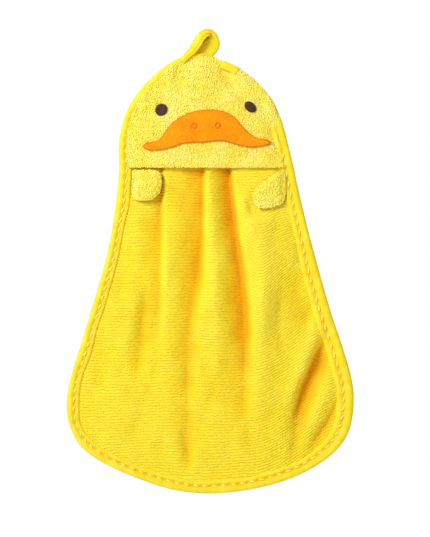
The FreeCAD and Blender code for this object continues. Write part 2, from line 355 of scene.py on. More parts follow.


# ribbed knit: pale pile on the ribs, a thin broken line of painted shade between them, painted shade in
# the folds, painted light where the cloth bulges forward and a painted grain of lit and shaded loops
def makeKnit():
    look = knitLook
    material, tree, shader = newMaterial("ribbedKnit")
    place = addNode(tree, "ShaderNodeUVMap", uv_map="cloth").outputs[0]
    parts = addNode(tree, "ShaderNodeSeparateXYZ", {"Vector": place})
    hollow = attribute(tree, "hollow")
    wobble = calculate(tree, "MULTIPLY", noiseValue(tree, place, look["wobbleScale"]), look["wobble"])
    rows = calculate(tree, "ADD", parts.outputs[1], wobble)
    turns = calculate(tree, "MULTIPLY", rows, fullTurn / bodyCloth["ribPitch"])
    ribWave = calculate(tree, "COSINE", turns, 0.0)
    gap = spread(tree, ribWave, -0.35, -0.95)
    loops = noiseValue(tree, place, look["loopScale"], 2.0, 0.65)
    clumps = noiseValue(tree, place, look["clumpScale"], 2.0, 0.6)
    patches = noiseValue(tree, place, look["patchScale"])
    # painted light where the cloth bulges forward and painted shade in the folds, both read from the fold
    # depth; the patches of the lighter tone are random
    colour = mixColours(tree, spread(tree, hollow, 0.12, -0.30), look["flat"], look["ridge"])
    colour = tinted(tree, colour, look["ridge"], patches, 0.40, 0.68, 0.5)
    colour = mixColours(tree, spread(tree, hollow, 0.12, 0.80), colour, look["hollow"])
    # a broken line of painted shade between the ribs, where the rib wave is lowest
    broken = calculate(tree, "MULTIPLY", gap, spread(tree, clumps, 0.36, 0.58))
    colour = mixColours(tree, calculate(tree, "MULTIPLY", broken, 0.55), colour, look["gap"])
    # painted shade on the low loops and painted highlight on the high ones, kept out of the folds; the
    # same loops make the bump
    colour = tinted(tree, colour, look["shadedLoop"], loops, 0.47, 0.32, 0.85)
    lit = calculate(tree, "MULTIPLY", spread(tree, loops, 0.52, 0.70), spread(tree, hollow, 0.7, 0.1))
    colour = mixColours(tree, calculate(tree, "MULTIPLY", lit, 0.75), colour, look["pale"])
    pile = calculate(tree, "ADD", loops, calculate(tree, "MULTIPLY", clumps, 0.6))
    height = calculate(tree, "ADD", calculate(tree, "MULTIPLY", ribWave, 0.30), pile)
    finishShader(tree, shader, look, colour, height)
    return material


# plush colours: tip is its own colour, root is painted warm shade for the tuft roots, the cloth between
# them and the pile's low spots; pale and deep are random tones, pale also on the pile's high spots
plushLook = {
    "tip": (0.975, 0.855, 0.130, 1), "root": (0.970, 0.715, 0.035, 1),
    "pale": (0.990, 0.910, 0.290, 1), "deep": (0.955, 0.690, 0.018, 1),
    "pileScale": 900.0, "clumpScale": 210.0, "patchScale": 45.0,
    "bump": 0.0008, "roughness": 0.95, "sheen": 0.12, "specular": 0.12,
}


# short plush: paler at the tuft tips, painted warm shade at the roots, between the tufts and on the pile's
# low spots, and uneven random patches
def makePlush():
    look = plushLook
    material, tree, shader = newMaterial("shortPlush")
    place = addNode(tree, "ShaderNodeTexCoord").outputs["Object"]
    pile = noiseValue(tree, place, look["pileScale"], 3.0, 0.65)
    clumps = noiseValue(tree, place, look["clumpScale"], 3.0, 0.6)
    patches = noiseValue(tree, place, look["patchScale"])
    # painted warm shade at the tuft roots and on the cloth between the tufts, the plush's own colour
    # towards the tips
    colour = mixColours(tree, spread(tree, attribute(tree, "tip"), 0.0, 0.8), look["root"], look["tip"])
    colour = tinted(tree, colour, look["deep"], clumps, 0.50, 0.36, 0.55)
    colour = tinted(tree, colour, look["pale"], patches, 0.42, 0.66, 0.6)
    # paler on the pile's high spots and painted shade, in the root colour, on its low spots; the pile also
    # makes the bump
    colour = tinted(tree, colour, look["pale"], pile, 0.54, 0.72, 0.5)
    colour = tinted(tree, colour, look["root"], pile, 0.48, 0.30, 0.8)
    finishShader(tree, shader, look, colour, pile)
    return material


# groove is a painted shade colour, for the sewn groove and the hanging loop's crease
tapeLook = {
    "face": (0.930, 0.690, 0.014, 1), "worn": (0.960, 0.790, 0.055, 1),
    "groove": (0.860, 0.480, 0.004, 1),
    "ribsPerMetre": 1100.0, "ribsAlong": 0.8, "fuzzScale": 900.0, "patchScale": 90.0,
    "bump": 0.00025, "sheen": 0.05, "specular": 0.15,
}


# knitted binding tape: fine ribs along and across the tape, with a warmer painted shade in the sewn groove
def makeTape():
    look = tapeLook
    material, tree, shader = newMaterial("bindingTape")
    place = addNode(tree, "ShaderNodeUVMap", uv_map="cloth").outputs[0]
    parts = addNode(tree, "ShaderNodeSeparateXYZ", {"Vector": place})
    turns = fullTurn * look["ribsPerMetre"]
    across = calculate(tree, "SINE", calculate(tree, "MULTIPLY", parts.outputs[1], turns), 0.0)
    along = calculate(tree, "SINE", calculate(tree, "MULTIPLY", parts.outputs[0],
                                              turns * look["ribsAlong"]), 0.0)
    weave = calculate(tree, "MULTIPLY", across, along)
    fuzz = noiseValue(tree, place, look["fuzzScale"])
    patches = noiseValue(tree, place, look["patchScale"])
    colour = mixColours(tree, spread(tree, patches, 0.42, 0.72), look["face"], look["worn"])
    # painted shade, warm, along the sewn groove
    colour = mixColours(tree, attribute(tree, "groove"), colour, look["groove"])
    height = calculate(tree, "ADD", calculate(tree, "MULTIPLY", weave, 0.4), fuzz)
    finishShader(tree, shader, look, colour, height)
    tree.links.new(spread(tree, fuzz, 1.6, -1.4), shader.inputs["Roughness"])
    return material


feltLook = {
    "face": (0.900, 0.290, 0.0025, 1), "dark": (0.840, 0.225, 0.002, 1),
    "light": (0.940, 0.365, 0.008, 1),
    "fibreScale": 700.0, "patchScale": 60.0, "fibreStretch": (1.0, 1.0, 0.45),
    "bump": 0.0008, "roughness": 0.95, "sheen": 0.08, "specular": 0.1,
}


# brushed felt: matted fibres, a little lighter where the nap stands up
def makeFelt():
    look = feltLook
    material, tree, shader = newMaterial("billFelt")
    place = addNode(tree, "ShaderNodeTexCoord").outputs["Object"]
    stretched = addNode(tree, "ShaderNodeMapping", {"Vector": place, "Scale": look["fibreStretch"]})
    fibres = noiseValue(tree, stretched.outputs[0], look["fibreScale"], 4.0, 0.7)
    patches = noiseValue(tree, place, look["patchScale"])
    colour = mixColours(tree, spread(tree, patches, 0.40, 0.70), look["face"], look["dark"])
    colour = tinted(tree, colour, look["dark"], fibres, 0.50, 0.36, 0.7)
    colour = tinted(tree, colour, look["light"], fibres, 0.50, 0.68, 0.8)
    finishShader(tree, shader, look, colour, fibres)
    return material


threadLook = {
    "twistScale": 900.0, "twistWander": 1.5, "fuzzScale": 1400.0, "fuzzShare": 0.35,
    "bump": 0.00012,
}


# embroidery thread: colour varies from strand to strand; the twist shows as fine slanted lines
def makeThread(name, face, dark, specular):
    look = {**threadLook, "specular": specular}
    material, tree, shader = newMaterial(name)
    place = addNode(tree, "ShaderNodeTexCoord").outputs["Object"]
    feed = {"Vector": place, "Scale": look["twistScale"], "Distortion": look["twistWander"]}
    twist = addNode(tree, "ShaderNodeTexWave", feed, bands_direction="DIAGONAL").outputs["Fac"]
    fuzz = noiseValue(tree, place, look["fuzzScale"])
    colour = mixColours(tree, attribute(tree, "strand"), face, dark)
    colour = mixColours(tree, calculate(tree, "MULTIPLY", fuzz, look["fuzzShare"]), colour, dark)
    finishShader(tree, shader, look, colour, calculate(tree, "ADD", twist, fuzz))
    tree.links.new(spread(tree, fuzz, -1.2, 2.0), shader.inputs["Roughness"])
    return material


bodyCloth = {
    "ribPitch": 2.6 * mm,
    "rowsPerRib": 2,
    "columns": 176,
    "ribHeight": 0.7 * mm,
    "tuck": 5.0 * mm,           # runs up under the face this far
    "inset": 6.0 * mm,          # its edge ends inside the binding
    "pile": 0.08 * mm,          # how uneven the pile is
    "deepest": 8 * mm,          # a fold this deep has the full painted shade of a hollow
}

knit = makeKnit()
plush = makePlush()
tape = makeTape()
felt = makeFelt()
orangeThread = makeThread("orangeThread", (0.860, 0.240, 0.003, 1), (0.700, 0.145, 0.002, 1), 0.15)
brownThread = makeThread("brownThread", (0.085, 0.031, 0.016, 1), (0.036, 0.013, 0.008, 1), 0.30)
yellowThread = makeThread("yellowThread", (0.985, 0.885, 0.220, 1), (0.975, 0.800, 0.100, 1), 0.2)
print("materials made")


# folds that run down the body: points of the line (x, z), how far back it lies there, and how
# wide its left and right walls are, all in millimetres
bodyFolds = [
    {"line": [(-43.4, -124), (-43.6, -180), (-44.4, -240), (-46, -290), (-49, -340)],
     "depth": [4.6, 4.6, 4.0, 2.4, 0], "left": [15, 16, 17, 16, 14], "right": [3, 3.4, 4.5, 7, 9]},
    {"line": [(-57, -226), (-60, -262), (-63, -300), (-68, -345)],
     "depth": [0, 3.2, 2.6, 0], "left": [9, 9, 9, 9], "right": [6, 6, 7, 8]},
    {"line": [(-4.6, -124), (-5.5, -187), (-9, -224), (-14, -255), (-18, -300), (-18, -345),
              (-17, -398)],
     "depth": [7, 6.5, 6, 5.2, 4.2, 2.8, 2.2], "left": [26, 27, 27, 24, 20, 12, 8],
     "right": [3, 3.4, 6, 9, 10, 8, 6]},
    {"line": [(19, -124), (25, -181), (29.5, -215), (33, -250), (34.5, -285), (34, -320),
              (34, -350), (40, -378)],
     "depth": [8, 9, 9, 8, 6.5, 4.5, 3, 1], "left": [13, 16, 18, 20, 20, 20, 18, 14],
     "right": [3, 3.5, 5, 6, 8, 10, 10, 9]},
    {"line": [(75, -200), (68, -240), (66, -280), (72, -320)],
     "depth": [0, 2.4, 2.6, 0.5], "left": [14, 14, 13, 12], "right": [8, 8, 8, 9]},
]
# where the cloth bulges forward between the folds, in the same way
bodyRidges = [
    {"line": [(-36, -140), (-36, -230), (-40, -300), (-46, -350)], "depth": [0, 2.4, 1.6, 0],
     "left": [7, 8, 12, 14], "right": [12, 14, 15, 15]},
    {"line": [(3, -140), (6, -190), (8, -250), (8, -320)], "depth": [0, 2.4, 2.2, 0],
     "left": [8, 8, 10, 12], "right": [8, 10, 12, 12]},
    {"line": [(34, -140), (43, -180), (52, -220), (52, -290), (50, -340)], "depth": [0, 4.2, 3.6, 2.0, 0],
     "left": [8, 9, 10, 12, 12], "right": [16, 17, 16, 14, 14]},
]
# shorter creases: start, end, depth, left width and right width
bodyCreases = [
    ((110, -284), (96, -312), 4.0, 3, 13), ((96, -312), (86, -342), 4.0, 3, 13),
    ((86, -342), (81, -382), 2.6, 4, 12), ((98, -286), (80, -330), -2.6, 12, 7),
    ((119, -349), (105, -371), 3.0, 3, 8), ((110, -340), (98, -362), -1.6, 7, 6),
    ((96, -190), (84, -238), 1.6, 9, 7), ((104, -232), (94, -262), 1.4, 8, 6),
    ((-20, -378), (-17, -402), 1.4, 4, 4),
]
drape = {
    "foldPower": 1.4,           # how hollow the walls of the folds are
    "foldFade": 14 * mm,        # a fold begins and ends over this length
    "wideFrom": 5 * mm, "wideTo": 14 * mm,      # walls change from a bell to a power between these
    "sag": 0.7 * mm, "sagSize": 45 * mm, "ripple": 0.3 * mm, "rippleSize": 18 * mm,
    "edgeFade": 24 * mm,        # flat beside the binding, full this far from the edge
    "hemShare": 0.25,           # share of the depth that is left at the hem
}


# the sum of the folds: from its line a wall falls off as a power of what is left of its width, or
# as a bell where the width is small or no power is given
def foldSum(folds, x, z, power=None):
    total = np.zeros(np.broadcast(x, z).shape)
    for fold in folds:
        line = np.array(fold["line"]) * mm
        share = np.interp(-z, -line[:, 1], np.linspace(0, 1, len(line)))
        centre = smoothLine(line, share)[..., 0]
        depth, left, right = (smoothLine(np.array(fold[key], float)[:, None] * mm, share)[..., 0]
                              for key in ("depth", "left", "right"))
        away = x - centre
        width = np.where(away < 0, left, right)
        reach = np.abs(away) / width
        bell = np.exp(-reach ** 2)
        cusp = (1 - np.clip(reach / 1.3, 0, 1)) ** (power or 1)
        wide = smoothStep(width, drape["wideFrom"], drape["wideTo"]) if power else 0
        wall = bell + (cusp - bell) * wide
        first, last, fade = -line[0, 1], -line[-1, 1], drape["foldFade"]
        fromSeam = line[0, 1] >= towel["seam"] - 5 * mm         # such a fold has no upper end
        ends = 1.0 if fromSeam else smoothStep(-z, first - fade, first)
        total = total + depth * wall * ends * (1 - smoothStep(-z, last, last + fade))
    return total


# how far the cloth lies behind the plane y = 0: folds, ridges and creases, with a little
# unevenness; it dies away towards the bound edges
def foldDepth(x, z):
    depth = foldSum(bodyFolds, x, z, drape["foldPower"]) - foldSum(bodyRidges, x, z)
    for item in bodyCreases:
        depth = depth + crease(x, z, *item)
    depth = depth + drape["sag"] * unevenness(x, z, drape["sagSize"], 3) \
        + drape["ripple"] * unevenness(x, z, drape["rippleSize"], 4)
    underPaw = smoothStep(np.abs(x), 33 * mm, 42 * mm) * smoothStep(z, -180 * mm, -166 * mm)
    depth = np.maximum(depth, 0) + np.minimum(depth, 0) * (1 - underPaw)      # no bulge under a paw
    left, right = edgesAt(np.clip(z, towel["hem"] + 2 * mm, towel["crown"] - 2 * mm), 0)
    inside = np.minimum(x - left, right - x)
    fromHem = smoothStep(z - towel["hem"], 4 * mm, 50 * mm)
    hemShare = drape["hemShare"] + (1 - drape["hemShare"]) * fromHem
    underFace = smoothStep(z, towel["seam"], towel["seam"] + 6 * mm)
    return depth * smoothStep(inside, 2 * mm, drape["edgeFade"]) * hemShare * (1 - underFace)


ribs = {
    "climb": 33 * mm, "steeper": 1.25,
    "dip": 8 * mm, "dipX": 50 * mm, "dipWidth": 13 * mm,
    "sway": 1.2 * mm, "swaySize": 120 * mm,
}


# how far a rib line rises above level: it dips on the right-hand ridge, then climbs to the edge
def ribRise(x, z):
    down = towel["seam"] - z
    climb = ribs["climb"] * smoothStep(down, 25 * mm, 120 * mm) * smoothStep(x, 42 * mm, 128 * mm) \
        * ribs["steeper"]
    dip = ribs["dip"] * smoothStep(down, 5 * mm, 50 * mm) * (1 - smoothStep(down, 110 * mm, 170 * mm))
    sway = ribs["sway"] * unevenness(x, z, ribs["swaySize"], 8, 5)
    return climb - dip * np.exp(-((x - ribs["dipX"]) / ribs["dipWidth"]) ** 2) + sway


# the sheet: rows follow the rib lines and end inside the binding; columns divide each row evenly
def makeBody():
    step = bodyCloth["ribPitch"] / bodyCloth["rowsPerRib"]
    top = towel["seam"] + bodyCloth["tuck"]
    rowHeights = np.arange(top + 10 * mm, towel["hem"] - 45 * mm, -step)[:, None]
    probe = np.linspace(-0.5, 0.52, 700)[None, :] * towel["width"]
    probeHeights = rowHeights + ribRise(probe, rowHeights)
    left, right = edgesAt(probeHeights, bodyCloth["inset"])
    bottom = towel["hem"] + bodyCloth["inset"]
    inside = (probe > left) & (probe < right) & (probeHeights < top) & (probeHeights > bottom)
    kept = inside.sum(1) > 2
    rowHeights, inside = rowHeights[kept], inside[kept]
    first = probe[0, np.argmax(inside, 1)][:, None]
    last = probe[0, probe.shape[1] - 1 - np.argmax(inside[:, ::-1], 1)][:, None]
    rows, columns = len(rowHeights), bodyCloth["columns"]
    x = first + (last - first) * np.linspace(0, 1, columns)[None, :]
    z = rowHeights + ribRise(x, rowHeights)
    rowHeights = np.broadcast_to(rowHeights, x.shape)
    rib = np.cos(rowHeights * fullTurn / bodyCloth["ribPitch"]) * 0.5
    random = np.random.default_rng(21)
    pile = random.normal(0, bodyCloth["pile"], x.shape)
    fold = foldDepth(x, z)
    front = fold - towel["bodyHalf"] - bodyCloth["ribHeight"] * rib + pile
    back = fold + towel["bodyHalf"] + bodyCloth["ribHeight"] * rib - pile[:, ::-1]
    uv = np.tile(np.stack([x, rowHeights], -1).reshape(-1, 2), (2, 1))
    # fold depth, for the knit's painted shade in the folds and painted light on the bulges; the back is
    # painted the other way round, more weakly
    hollow = np.concatenate([fold.ravel(), -0.6 * fold.ravel()]) / bodyCloth["deepest"]
    return makePiece("bodyTowelling", shellPoints(x, front, back, z), shellFaces(rows, columns), knit,
                     uv, {"hollow": hollow})


body = makeBody()
print("body towelling made")


padding = {
    "half": 1.5 * mm, "rings": 14, "innermost": 0.02,       # the flat bag before it is blown up
    "pressure": 4.0, "frames": 20,
    "grid": 70, "near": 0.8,        # the grid it is read onto, averaged over this many voxels
}


def readPoints(mesh):
    points = np.empty(len(mesh.vertices) * 3, np.float32)
    mesh.vertices.foreach_get("co", points)
    return points.reshape(-1, 3)


# padding: a flat closed bag with the given outline is made even by a voxel remesh, sewn where
# told, and blown up for some frames by the cloth simulation; how far its front has risen is
# averaged onto a grid and returned as a share of the greatest rise
def inflate(name, line, voxel, sewn):
    share = np.linspace(1, padding["innermost"], padding["rings"])[:, None, None]
    middle = line.mean(0)
    flat = middle + (line - middle)[None] * share
    front = np.stack([flat[..., 0], np.full(flat.shape[:2], -padding["half"]), flat[..., 1]], -1)
    grid = np.concatenate([(front * (1, -1, 1))[::-1], front])
    bag = makePiece(name, grid, tubeFaces(*grid.shape[:2]), plush)
    remesh = bag.modifiers.new("even", "REMESH")
    remesh.mode = "VOXEL"
    remesh.voxel_size = voxel
    even = bpy.data.meshes.new_from_object(bag.evaluated_get(bpy.context.evaluated_depsgraph_get()))
    bag.modifiers.clear()
    bag.data = even
    flatPoints = readPoints(even)
    held = np.flatnonzero(sewn(flatPoints[:, 0], flatPoints[:, 2])).tolist()
    bag.vertex_groups.new(name="sewn").add(held, 1.0, "REPLACE")
    cloth = bag.modifiers.new("cloth", "CLOTH")
    cloth.settings.vertex_group_mass = "sewn"
    cloth.settings.use_pressure = True
    cloth.settings.uniform_pressure_force = padding["pressure"]
    cloth.settings.effector_weights.gravity = 0
    for moment in range(1, padding["frames"] + 1):
        bpy.context.scene.frame_set(moment)
    points = readPoints(bag.evaluated_get(bpy.context.evaluated_depsgraph_get()).to_mesh())
    bpy.context.scene.frame_set(1)
    bpy.data.objects.remove(bag)
    isFront = flatPoints[:, 1] < 0
    places, rise = flatPoints[isFront][:, [0, 2]], (flatPoints - points)[isFront, 1]
    print(name, "vertices", len(points), "greatest rise in mm", round(float(rise.max()) / mm, 2))
    gridX = np.linspace(line[:, 0].min(), line[:, 0].max(), padding["grid"])
    gridZ = np.linspace(line[:, 1].min(), line[:, 1].max(), padding["grid"])
    apart = (gridX[None, :, None] - places[:, 0]) ** 2 + (gridZ[:, None, None] - places[:, 1]) ** 2
    weight = np.exp(-apart / (padding["near"] * voxel) ** 2) + 1e-12
    heights = (weight * rise).sum(-1) / weight.sum(-1)
    return gridX, gridZ, np.clip(heights, 0, None) / heights.max()


# a padding grid read between its points
def readRise(bag, x, z):
    gridX, gridZ, heights = bag
    column = np.clip((x - gridX[0]) / (gridX[1] - gridX[0]), 0, len(gridX) - 1.001)
    row = np.clip((z - gridZ[0]) / (gridZ[1] - gridZ[0]), 0, len(gridZ) - 1.001)
    left, low = column.astype(int), row.astype(int)
    u, v = column - left, row - low
    return ((1 - u) * (1 - v) * heights[low, left] + u * (1 - v) * heights[low, left + 1]
            + (1 - u) * v * heights[low + 1, left] + u * v * heights[low + 1, left + 1])


headCloth = {
    "rows": 124, "columns": 132, "voxel": 4 * mm,
    "overhang": 1.6 * mm,       # the face hangs this far below the seam
    "lift": 1.5 * mm,           # how far the ply stands up beside the binding
    "crown": 2.6 * mm,          # and how much further it swells out at its middle
    "rollOver": 2.2 * mm,       # and how far it rises over the binding on the upper right
    "tuftStep": 1.3 * mm, "tuftLength": 0.65 * mm, "tuftRadius": 0.90 * mm,
    "hemFrom": -72.5 * mm, "hemTo": 70 * mm,        # a closer row of tufts hides the hem's edge
}
# how far in from the outline the plush ends: it covers the binding on the upper right
plushEdge = mm * alongOutline([(-20, 3.2), (-60, 3.8), (-80, 5.4), (-115, 7.4), (-130, 8.0)],
                              [(-20, 0.5), (-58, 0.6), (-75, 2.0), (-95, 5.0), (-112, 8.4), (-130, 9.2)])
headCreases = [
    ((-40, -50), (-44, -78), 0.9, 5, 4), ((-50, -58), (-56, -84), 0.7, 4, 4),
    ((-26, -44), (-24, -72), 0.6, 6, 5), ((16, -40), (33, -66), 1.5, 4, 4),
    ((28, -42), (44, -60), -1.0, 4, 4), ((52, -74), (64, -98), 1.0, 5, 4),
    ((60, -98), (69, -114), 1.2, 4, 4), ((-68, -92), (-56, -100), 0.9, 4, 4),
    ((46, -104), (62, -117), 0.8, 4, 5),
]


# the head's padding is sewn down under the binding and free at the hem
def headSewn(x, z):
    left, right = edgesAt(z, 0)
    return (np.minimum(x - left, right - x) < 7 * mm) | (z > towel["crown"] - 6 * mm)


# the outline above the seam, from the left end of the hem over the crown to the right end
aboveSeam = np.roll(outlineLine + outlineInward * 2 * mm, 400, 0)
aboveSeam = aboveSeam[aboveSeam[:, 1] > towel["seam"]][::12]
headBag = inflate("headBag", evenLine(aboveSeam, 150, closed=True)[0], headCloth["voxel"], headSewn)


# the head's swell in front of its flat ply: the blown-up padding, less at the hem, with creases
def headSwell(x, z):
    left, right = edgesAt(z, 0)
    inside = np.minimum(np.minimum(x - left, right - x), (towel["crown"] - z) * 0.8)
    swell = headCloth["lift"] * smoothStep(inside, 0, 8 * mm)
    hemward = 0.2 + 0.8 * smoothStep(z, towel["seam"], towel["seam"] + 34 * mm)
    swell = swell + headCloth["crown"] * readRise(headBag, x, z) * hemward
    covered = smoothStep(z, -92 * mm, -62 * mm) * smoothStep(x, -12 * mm, 4 * mm)
    swell = swell + headCloth["rollOver"] * covered * (1 - smoothStep(inside, 0, 15 * mm))
    for item in headCreases:
        swell = swell - crease(x, z, *item)
    return swell + 0.35 * mm * unevenness(x, z, 26 * mm, 12)


def headFaceY(x, z):
    return -towel["headHalf"] * 0.75 - headSwell(x, z)


# a ply: rows from the crown to below the seam; its plush is spikes set at seeded places
def makeHeadPly(name, side, seed):
    rows, columns = headCloth["rows"], headCloth["columns"]
    bottom = towel["seam"] - headCloth["overhang"]
    top = (outlineLine + outlineInward * plushEdge[:, None])[:, 1].max() - 0.3 * mm
    z = (top + (bottom - top) * np.linspace(0, 1, rows) ** 1.05)[:, None]
    left, right = edgesAt(z, plushEdge)
    x = left + (right - left) * np.linspace(0, 1, columns)[None, :]
    z = np.broadcast_to(z, x.shape)
    random = np.random.default_rng(seed)
    outer = headFaceY(x, z) + random.normal(0, 0.12 * mm, x.shape)
    inner = np.full(x.shape, -0.2 * mm)
    points = shellPoints(x, outer, inner, z)
    # tufts on a jittered lattice over the ply, leaning out and a little down, and further down
    # along the hem, where one more row stands
    step = headCloth["tuftStep"]
    latticeX, latticeZ = np.meshgrid(np.arange(towel["width"] * -0.32, towel["width"] * 0.32, step),
                                     np.arange(bottom, top, step * 0.9))
    tuftX = (latticeX + random.uniform(-0.5, 0.5, latticeX.shape) * step).ravel()
    tuftZ = (latticeZ + random.uniform(-0.5, 0.5, latticeX.shape) * step).ravel()
    low, high = edgesAt(tuftZ, plushEdge - 0.4 * mm)
    keep = (tuftX > low) & (tuftX < high)
    tuftX, tuftZ = tuftX[keep], tuftZ[keep]
    edgeX = np.arange(headCloth["hemFrom"], headCloth["hemTo"], step * 0.6)
    tuftX = np.concatenate([tuftX, edgeX + random.uniform(-0.4, 0.4, edgeX.shape) * step])
    hemZ = bottom + random.uniform(-0.6, 0.8, edgeX.shape) * mm
    tuftZ = np.concatenate([tuftZ, hemZ])
    roots = np.stack([tuftX, headFaceY(tuftX, tuftZ), tuftZ], -1)
    near = 1 - smoothStep(tuftZ, bottom, bottom + 3 * mm)
    lean = np.stack([random.normal(0, 0.40, tuftX.shape),
                     -random.uniform(0.45, 1.0, tuftX.shape),
                     random.normal(-0.15, 0.40, tuftX.shape) - 0.7 * near], -1)
    leans = lean * headCloth["tuftLength"] * random.uniform(0.55, 1.1, (len(tuftX), 1))
    tuftPoints, quads, triangles = makeTufts(roots, leans, headCloth["tuftRadius"], seed + 1)
    start = len(points)
    allPoints = np.concatenate([points, tuftPoints])
    tips = np.concatenate([np.full(start, tuft["clothTip"]), np.tile(tuft["tips"], len(tuftX))])
    faces = shellFaces(rows, columns) + [quads + start, triangles + start]
    if side > 0:                    # the back ply mirrors the front one through the plane y = 0
        allPoints = allPoints * (1, -1, 1)
        faces = [group[:, ::-1] for group in faces]
    return makePiece(name, allPoints, faces, plush, values={"tip": tips})


headFront = makeHeadPly("headFrontPlush", -1, 31)
headBack = makeHeadPly("headBackPlush", 1, 41)
print("head plies made")


# the tape's section: inset from the towel's outline and height over the cloth, in millimetres,
# from the inner edge over the inner ridge, the sewn groove and the outer roll
tapeSection = [(12.3, -0.4), (12.2, 0.5), (11.2, 1.15), (9.6, 1.25), (8.3, 1.0), (7.4, 0.35),
               (6.5, 0.75), (5.2, 1.55), (3.4, 1.9), (1.6, 1.55), (0.4, 0.7)]
binding = {
    "sections": 860, "stitchPitch": 9.0 * mm,
    "groove": 7.4 * mm, "grooveWidth": 1.8 * mm, "pucker": 0.5,     # the stitches draw the groove in
    "wander": 0.35 * mm,        # how far its inner edge strays
    "headMore": 0.9 * mm,       # the head's plies are this much thicker than the body, each side
}
# the tape's width round the outline
tapeWidth = alongOutline([(-20, 1.0), (-118, 0.86), (-128, 0.98), (-158, 0.98), (-175, 0.86), (-380, 0.88),
                          (-428, 0.92)],
                         [(-20, 0.9), (-118, 0.9), (-128, 1.0), (-166, 1.0), (-230, 1.25), (-370, 1.25),
                          (-405, 1.0), (-428, 0.92)])
# how much of the tape's front shows beside the plush, and where the plush covers its stitches
onHead = outlineLine[:, 1] > towel["seam"]
tapeShows = np.where(onHead, smoothStep(plushEdge, 0.8 * mm, 3.6 * mm), 1.0)
stitchHidden = np.where(onHead, 1 - smoothStep(plushEdge, 6.4 * mm, 7.8 * mm), 0.0)


# half the thickness of the cloth under the tape: the plies of the head, easing into the body
def underTape(z):
    headShare = smoothStep(z, towel["seam"] - 8 * mm, towel["seam"] + 20 * mm)
    return towel["bodyHalf"] + binding["headMore"] * headShare


# middle plane of the cloth's edge, so that the tape follows the folds at the hem
def edgeBow(x, z):
    return np.where(z < towel["seam"], foldDepth(x, z), 0.0)


# a measure of the outline's points read at lengths along it
def onOutline(values, along):
    shares = np.arange(len(values) + 1) / len(values)
    return np.interp(along / outlineRun % 1, shares, np.append(values, values[0]))


def outlinePlaces(along):
    return [np.stack([onOutline(line[:, axis], along) for axis in (0, 1)], -1)
            for line in (outlineLine, outlineInward)]


# points of a tape swept round part of the outline; grow lifts it over the tape beneath
def tapeSweep(along, grow, section, shows, pucker):
    line, inward = outlinePlaces(along)
    front = np.array(section) * mm
    beat = np.cos(along * fullTurn / binding["stitchPitch"])
    groove = np.exp(-((front[:, 0] - binding["groove"]) / binding["grooveWidth"]) ** 2)
    height = front[None, :, 1] * (1 - pucker * beat[:, None] * groove[None, :])
    wander = binding["wander"] * unevenness(along, 0 * along, 40 * mm, 17)[:, None]
    width = onOutline(tapeWidth, along)[:, None]
    inner, outer = front[None, :, 0] > 3 * mm, front[None, :, 0] < 3 * mm
    inset = front[None, :, 0] * width + wander * inner - grow * outer
    placeX = line[:, 0, None] + inward[:, 0, None] * inset
    placeZ = line[:, 1, None] + inward[:, 1, None] * inset
    deep = underTape(placeZ) + grow
    bow = edgeBow(placeX, placeZ)
    frontSide = np.stack([placeX, bow - deep - height * (0.2 + 0.8 * shows), placeZ], -1)
    backSide = np.stack([placeX, bow + deep + height, placeZ], -1)[:, ::-1]
    rimInset = -grow - 0.25 * mm
    rimX, rimZ = line[:, 0] + inward[:, 0] * rimInset, line[:, 1] + inward[:, 1] * rimInset
    rimBow = edgeBow(rimX, rimZ)
    rimY = np.stack([-0.4 * underTape(rimZ), 0.4 * underTape(rimZ)], -1) + rimBow[:, None]
    rim = np.stack([np.stack([rimX, rimY[:, side], rimZ], -1) for side in (0, 1)], 1)
    points = np.concatenate([frontSide, rim, backSide], 1)
    across = np.concatenate([front[:, 0], [0, -1 * mm], -2 * mm - front[::-1, 0]])
    uv = np.stack(np.broadcast_arrays(along[:, None], across[None, :]), -1)
    # how strongly the groove's painted shade lies on each point, front and back
    shade = np.concatenate([groove, [0, 0], groove[::-1]])
    return points, uv, np.broadcast_to(shade * 0.7, uv.shape[:2])


def makeBinding():
    along = np.arange(binding["sections"]) / binding["sections"] * outlineRun
    points, uv, shade = tapeSweep(along, 0.0, tapeSection, onOutline(tapeShows, along)[:, None],
                                  binding["pucker"])
    rows, columns = points.shape[:2]
    faces = gridQuads(rows, columns, aroundRows=True, aroundColumns=True)
    return makePiece("edgeBinding", points, [faces], tape, uv, {"groove": shade})


# the folded end of the tape: a short thicker sweep with both ends drawn in and closed
endTab = {
    "start": 19.5 * mm, "length": 17.0 * mm, "grow": 1.5 * mm, "sections": 22, "drawnIn": 0.12,
    "section": [(7.6, 0.6), (7.5, 2.2), (6.8, 2.9), (4.6, 3.2), (2.6, 2.9), (1.2, 1.6)],
}


def makeEndTab():
    share = np.linspace(0, 1, endTab["sections"])
    along = endTab["start"] + endTab["length"] * share
    points, uv, _ = tapeSweep(along, endTab["grow"], endTab["section"], 1.0, 0.0)
    middle = points.mean(1, keepdims=True)
    draw = 1 - endTab["drawnIn"] * (np.abs(2 * share - 1) ** 12)[:, None, None]
    points = middle + (points - middle) * draw
    return makePiece("bindingEndTab", points, tubeFaces(*points.shape[:2]), tape, uv,
                     {"groove": np.zeros(points.shape[:2])})


# topstitching: each stitch is a short tube that rises from the groove and dips in again
stitch = {
    "length": 5.2 * mm, "radius": 0.90 * mm, "slant": 1.2 * mm, "along": 7, "around": 7,
    "rise": 0.55 * mm, "arch": 0.55 * mm,
    "sunk": 2.2 * mm,           # how far the plush presses it in where it covers the groove
}


